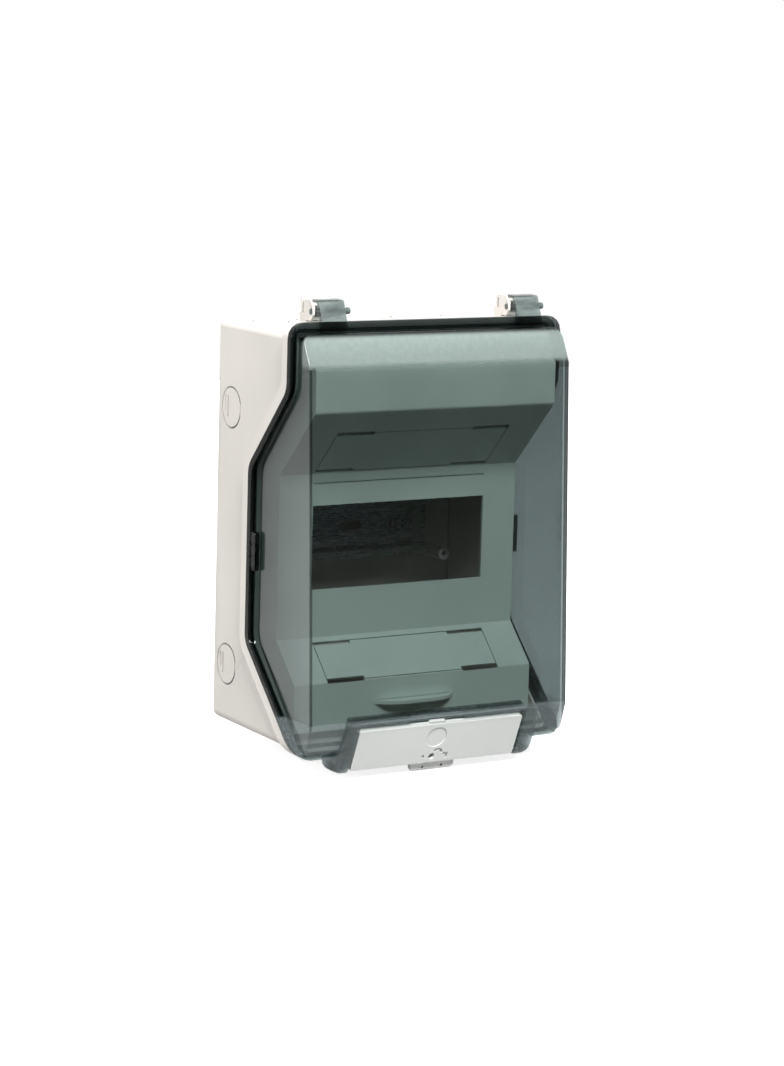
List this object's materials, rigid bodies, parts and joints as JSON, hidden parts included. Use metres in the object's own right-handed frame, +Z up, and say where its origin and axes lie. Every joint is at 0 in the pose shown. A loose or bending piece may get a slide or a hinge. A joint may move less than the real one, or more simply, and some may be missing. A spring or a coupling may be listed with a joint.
{
  "type": "dc combiner box",
  "caption": "Weatherproof wall box with a top-hinged smoked door, lever latch, clip-in inner cover with a module window, DIN rail and terminal bars.",
  "frame": {"origin": "middle of the back face that goes against the wall", "axes": "+Y into the wall, front faces -Y, +X to the right seen from the front, +Z up"},
  "size_m": [0.1702, 0.1207, 0.2548],
  "materials": {
    "shell": "fine satin moulded plastic",
    "smoked": "smoked clear moulding, glossy, frosted on the brow",
    "cover": "satin moulded plastic",
    "latch": "satin moulded plastic",
    "rubber": "matt foam rubber",
    "pin": "smooth moulded plastic",
    "carrier": "satin moulded plastic",
    "steel": "zinc plated steel",
    "brass": "drawn brass bar"
  },
  "bodies": {
    "enclosure": {"body_shell": "shell", "door_gasket": "rubber", "latch_keeper": "shell", "hinge_lug_left": "shell", "hinge_lug_right": "shell", "hinge_pin_left": "pin", "hinge_pin_right": "pin", "catch_comb_left": "shell", "catch_comb_right": "shell", "rail_screw_left": "steel", "rail_screw_right": "steel", "inner_cover": "cover", "blank_plate_upper": "cover", "blank_plate_lower": "cover", "din_rail": "steel", "terminal_carrier_upper": "carrier", "terminal_carrier_lower": "carrier", "terminal_bar_upper": "brass", "terminal_bar_lower": "brass", "terminal_screw_upper_1": "steel", "terminal_screw_upper_2": "steel", "terminal_screw_upper_3": "steel", "terminal_screw_upper_4": "steel", "terminal_screw_upper_5": "steel", "terminal_screw_lower_1": "steel", "terminal_screw_lower_2": "steel", "terminal_screw_lower_3": "steel", "terminal_screw_lower_4": "steel", "terminal_screw_lower_5": "steel"},
    "door": {"door_shell": "smoked", "hinge_clip_left": "smoked", "hinge_clip_right": "smoked", "catch_block_left": "smoked", "catch_block_right": "smoked", "latch_pin_left": "steel", "latch_pin_right": "steel"},
    "latch": {"latch_plate": "latch"}
  },
  "joints": [
    {"name": "door_hinge", "type": "hinge", "parent": "enclosure", "child": "door", "pos_m": [0, -0.086, 0.1218], "axis": [-1, 0, 0], "range_deg": [0, 110]},
    {"name": "latch_hinge", "type": "hinge", "parent": "door", "child": "latch", "pos_m": [0, -0.10704, -0.11918], "axis": [1, 0, 0], "range_deg": [0, 65]}
  ]
}
